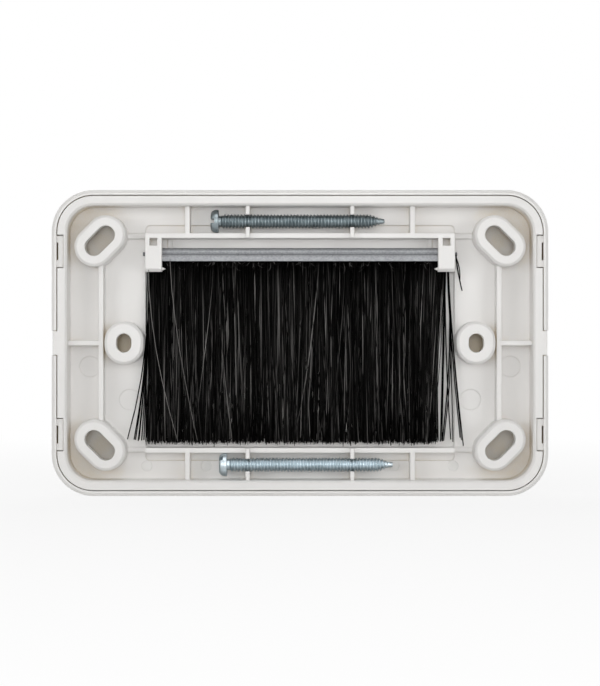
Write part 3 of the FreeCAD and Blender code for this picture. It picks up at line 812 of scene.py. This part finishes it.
class BRUSH_OT_screws(bpy.types.Operator):
    """Makes the two spare screws with their threads"""

    bl_idname = "brush.screws"
    bl_label = "Spare screws"

    def execute(self, context):
        sizes = context.scene.brush_screws
        tones = context.scene.brush_finish
        # Painted light and shade: a lit copy of the zinc for the lower screw, a shaded copy for the upper
        # one
        bright = zinc_plate("zinc_plate", tones.lit_screw_zinc_light, tones.lit_screw_zinc_shade)
        dull = zinc_plate("zinc_plate_dull", tones.shaded_screw_zinc_light, tones.shaded_screw_zinc_shade)
        axis_y = (SCREWS_LOW.y + SCREWS_HIGH.y) / 2
        upper_z = SCREWS_HIGH.z - sizes.head / 2
        lower_z = SCREWS_LOW.z + sizes.head / 2
        upper = (SCREWS_HIGH.x, axis_y, upper_z)
        lower = (SCREWS_LOW.x + sizes.body, axis_y, lower_z)
        for name, place, turn, material in (("upper_screw", upper, 0.0, dull),
                                            ("lower_screw", lower, sizes.lower_turn, bright)):
            points, faces = self.surface(sizes, place, turn)
            piece = put_mesh(name, points, faces, material, merge=True)
            piece.data.set_sharp_from_angle(angle=SHARP_EDGE)
            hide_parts("mounting_screws")
        return {"FINISHED"}

    @staticmethod
    def around(sizes, radius):
        """Angles of a ring's nodes. The slot, the cross and the four lands between them each take a share,
        and the half angle of an arm is the arc sine of half the slot's width over the radius. Neighbouring
        shares both hold the angle where they meet, so a wall can stand there."""
        corner = sizes.slot_width * math.sqrt(0.5)
        half = math.asin(sizes.slot_width / 2 / max(radius, corner))
        arm = np.linspace(-half, half, ARM_NODES)
        land = np.linspace(half, math.pi / 2 - half, LAND_NODES)
        quarter = np.concatenate((arm, land))
        return np.concatenate([quarter + turn * math.pi / 2 for turn in range(4)])

    @classmethod
    def head_rings(cls, sizes):
        """Radius, angles and heights of each ring over the head. Lands follow a flat and then a quarter of
        an ellipse. The slot's two arms stay at the slot's floor, and those of the cross rise to the land at
        the end of the cross."""
        rim = sizes.head / 2
        dome = sizes.head_height - HEAD_RIM
        floor = -sizes.slot_depth
        parts = np.tile(np.repeat((SLOT, LAND, CROSS, LAND), (ARM_NODES, LAND_NODES) * 2), 2)
        corner = sizes.slot_width * math.sqrt(0.5)
        end = sizes.cross / 2

        def land(radius):
            share = np.clip((radius - HEAD_FLAT) / (rim - HEAD_FLAT), 0, 1)
            return -dome * (1 - math.sqrt(1 - share * share))

        rings = [(radius, np.full(parts.size, floor)) for radius in (corner / 2, corner)]
        drive = [(corner, True), (DRIVE_RING, True), (end, True), (end, False), (HEAD_FLAT, False)]
        turned = HEAD_FLAT + (rim - HEAD_FLAT) * np.sin(DOME_ANGLES)
        for radius, cross_open in drive + [(radius, False) for radius in turned]:
            top = land(radius)
            cut = (parts == SLOT) | ((parts == CROSS) & cross_open)
            rings.append((radius, np.where(cut, min(top, floor), top)))
        below = -sizes.head_height
        for radius, height in ((rim, below + CHAMFER_HEIGHT), (rim - CHAMFER_WIDTH, below)):
            rings.append((radius, np.full(parts.size, height)))
        return [(np.full(parts.size, radius), cls.around(sizes, radius), height) for radius, height in rings]

    @classmethod
    def shank_rings(cls, sizes):
        """Rings along the shank. The radius runs from root to crest with a flat-topped wave of the height
        over the pitch less the angle over a full turn, so that the crest winds like a right-hand thread.
        The wave fades in after the neck, and both radii shrink towards the nose."""
        angles = cls.around(sizes, sizes.head / 2)
        start = sizes.head_height
        neck = start + NECK
        nose = sizes.body - NOSE
        taper = nose - NARROWING
        plain = np.linspace(start, neck, NECK_RINGS)
        threaded = np.arange(neck + RING_GAP, nose, sizes.pitch / TURN_RINGS)
        pointed = np.linspace(nose, sizes.body - RING_GAP, NOSE_RINGS)
        way = np.concatenate((plain, threaded, pointed))[:, None]
        turn = -way / sizes.pitch - angles[None] / (2 * math.pi)
        wave = np.clip(FLANK * (1 - np.abs(2 * (turn % 1) - 1)) - VALLEY, 0, 1)
        fade = np.clip((way - neck) / THREAD_RISE, 0, 1)
        narrow = np.clip((way - taper) / (nose - taper), 0, 1)
        root = sizes.root / 2 - narrow * (sizes.root / 2 - NOSE_ROOT)
        crest = sizes.crest / 2 - narrow ** CREST_POWER * (sizes.crest / 2 - NOSE_CREST)
        point = np.clip((way - nose) / (sizes.body - nose), 0, 1)
        root = root - point * POINT
        crest = np.where(point > 0, root + POINT * (1 - point), crest)
        radius = root + (crest - root) * wave * fade
        return radius, np.broadcast_to(angles, radius.shape), np.broadcast_to(-way, radius.shape)

    @classmethod
    def surface(cls, sizes, place, turn):
        """The whole screw as one grid of rings from the middle of the drive to the end of the nose. A node
        lies along X by its height, and its radius times the cosine and sine of its angle give Y and Z."""
        head = cls.head_rings(sizes)
        radius, angle, height = (np.concatenate((np.stack(first), second)) for first, second in
                                 zip(zip(*head), cls.shank_rings(sizes)))
        grid = np.stack((height, radius * np.cos(angle + turn), radius * np.sin(angle + turn)), axis=-1)
        rings, around = grid.shape[:2]
        poles = np.array(((-sizes.slot_depth, 0, 0), (-sizes.body, 0, 0)))
        points = np.concatenate((grid.reshape(-1, 3), poles)) + np.array(place)
        return points, grid_faces(rings, around).tolist() + pole_faces(rings, around).tolist()


# Stage

class BRUSH_OT_stage(bpy.types.Operator):
    """Sets up the floor, the lamps, the white surroundings and the camera"""

    bl_idname = "brush.stage"
    bl_label = "Stage"

    def execute(self, context):
        stage = context.scene.brush_stage
        self.floor(stage)
        self.world(context.scene, stage)
        for side, mirror in (("wall", 1), ("hood", -1)):
            for name, power, size, (x, y, z) in LAMPS:
                self.lamp(f"{side}_{name}", getattr(stage, power), size, (x, mirror * y, z))
        self.camera(context.scene, stage)
        context.scene.view_settings.view_transform = "Standard"
        return {"FINISHED"}

    @staticmethod
    def seen(tree):
        """One for rays that see the surroundings: from the camera, from gloss or through something clear."""
        path = tree.nodes.new("ShaderNodeLightPath")
        total = path.outputs["Is Camera Ray"]
        for name in ("Is Glossy Ray", "Is Transmission Ray"):
            total = reckon(tree, "MAXIMUM", total, path.outputs[name])
        return total

    @classmethod
    def floor(cls, stage):
        """Square of pale floor under the lowest edge. Where it is seen it glows white far from the plate,
        and near the plate it glows less, so that it takes a shadow."""
        half = stage.floor_half
        corners = np.array(((-half, -half), (half, -half), (half, half), (-half, half)))
        points = np.column_stack((corners, np.full(4, CAD_LOW.z)))
        mesh = bpy.data.meshes.new("floor")
        mesh.from_pydata(points.tolist(), [], [(0, 1, 2, 3)])
        material = bpy.data.materials.new("pale_floor")
        material.use_nodes = True
        tree = material.node_tree
        shader = tree.nodes["Principled BSDF"]
        shader.inputs["Base Color"].default_value = FLOOR_TONE
        shader.inputs["Roughness"].default_value = FLOOR_ROUGH
        shader.inputs["Specular IOR Level"].default_value = 0.0
        glow = add_node(tree, "ShaderNodeEmission", {"Color": WHITE, "Strength": 1.0})
        place = tree.nodes.new("ShaderNodeTexCoord").outputs["Object"]
        reach = tree.nodes.new("ShaderNodeVectorMath")
        reach.operation = "LENGTH"
        tree.links.new(place, reach.inputs[0])
        share = between(tree, reach.outputs["Value"], FLOOR_GLOW, 1.0, *GLOW_DISTANCES)
        mix = tree.nodes.new("ShaderNodeMixShader")
        tree.links.new(reckon(tree, "MULTIPLY", cls.seen(tree), share), mix.inputs["Fac"])
        tree.links.new(shader.outputs["BSDF"], mix.inputs[1])
        tree.links.new(glow.outputs["Emission"], mix.inputs[2])
        tree.links.new(mix.outputs["Shader"], tree.nodes["Material Output"].inputs["Surface"])
        mesh.materials.append(material)
        floor = bpy.data.objects.new("floor", mesh)
        bpy.context.scene.collection.objects.link(floor)

    @classmethod
    def world(cls, scene, stage):
        """White where it is seen, and a weaker even light on everything else."""
        world = bpy.data.worlds.new("white_room")
        scene.world = world
        world.use_nodes = True
        tree = world.node_tree
        tree.nodes.clear()
        even = add_node(tree, "ShaderNodeBackground", {"Color": WHITE, "Strength": stage.room_light})
        white = add_node(tree, "ShaderNodeBackground", {"Color": WHITE, "Strength": 1.0})
        mix = tree.nodes.new("ShaderNodeMixShader")
        out = tree.nodes.new("ShaderNodeOutputWorld")
        tree.links.new(cls.seen(tree), mix.inputs["Fac"])
        tree.links.new(even.outputs["Background"], mix.inputs[1])
        tree.links.new(white.outputs["Background"], mix.inputs[2])
        tree.links.new(mix.outputs["Shader"], out.inputs["Surface"])

    @staticmethod
    def lamp(name, power, size, place):
        """Square soft lamp that faces the plate."""
        data = bpy.data.lights.new(name, "AREA")
        data.energy = power
        data.size = size
        lamp = bpy.data.objects.new(name, data)
        lamp.location = place
        lamp.rotation_euler = (-lamp.location).to_track_quat("-Z", "Y").to_euler()
        bpy.context.scene.collection.objects.link(lamp)

    @staticmethod
    def camera(scene, stage):
        """Camera square to the wall plane, on the side of the wall, at the height of the plate's middle."""
        data = bpy.data.cameras.new("camera")
        plate_pixels = stage.plate_share * FRAME_WIDTH
        focal_pixels = plate_pixels / (CAD_HIGH.x - CAD_LOW.x) * stage.distance
        data.lens = focal_pixels * data.sensor_width / max(FRAME_WIDTH, FRAME_HEIGHT)
        data.clip_start = CAMERA_NEAR
        data.clip_end = CAMERA_FAR
        camera = bpy.data.objects.new("camera", data)
        middle = (CAD_LOW + CAD_HIGH) / 2
        camera.location = (middle.x, stage.distance, middle.z)
        camera.rotation_euler = (math.pi / 2, 0, math.pi)
        scene.collection.objects.link(camera)
        scene.camera = camera


# Panel and registration

class BRUSH_PT_plate(bpy.types.Panel):
    """Lists the pieces of the brush plate and their settings"""

    bl_label = "Brush plate"
    bl_idname = "BRUSH_PT_plate"
    bl_space_type = "VIEW_3D"
    bl_region_type = "UI"
    bl_category = "Brush plate"

    def draw(self, context):
        for operator in OPERATORS:
            self.layout.operator(operator.bl_idname)
        for name in SETTINGS:
            group = getattr(context.scene, name)
            box = self.layout.box()
            for key in group.__annotations__:
                box.prop(group, key)


SETTINGS = {
    "brush_bristles": BrushSettings,
    "brush_screws": ScrewSettings,
    "brush_finish": FinishSettings,
    "brush_stage": StageSettings,
}
OPERATORS = (
    BRUSH_OT_base_plate,
    BRUSH_OT_surround_cover,
    BRUSH_OT_ejector_marks,
    BRUSH_OT_brush_strip,
    BRUSH_OT_bristles,
    BRUSH_OT_screws,
    BRUSH_OT_stage,
)


def register():
    """Registers the settings, the operators and the panel."""
    for kind in (*SETTINGS.values(), *OPERATORS, BRUSH_PT_plate):
        bpy.utils.register_class(kind)
    for name, kind in SETTINGS.items():
        setattr(bpy.types.Scene, name, bpy.props.PointerProperty(type=kind))


def unregister():
    """Takes back what register added."""
    for name in SETTINGS:
        delattr(bpy.types.Scene, name)
    for kind in (BRUSH_PT_plate, *reversed(OPERATORS), *reversed(SETTINGS.values())):
        bpy.utils.unregister_class(kind)


def main():
    """Makes every piece in order."""
    register()
    for collection in (bpy.data.lights, bpy.data.cameras):
        for leftover in list(collection):
            collection.remove(leftover)
    bpy.ops.brush.base_plate()
    bpy.ops.brush.surround_cover()
    bpy.ops.brush.ejector_marks()
    bpy.ops.brush.brush_strip()
    bpy.ops.brush.bristles()
    bpy.ops.brush.screws()
    bpy.ops.brush.stage()


if __name__ == "__main__":
    main()
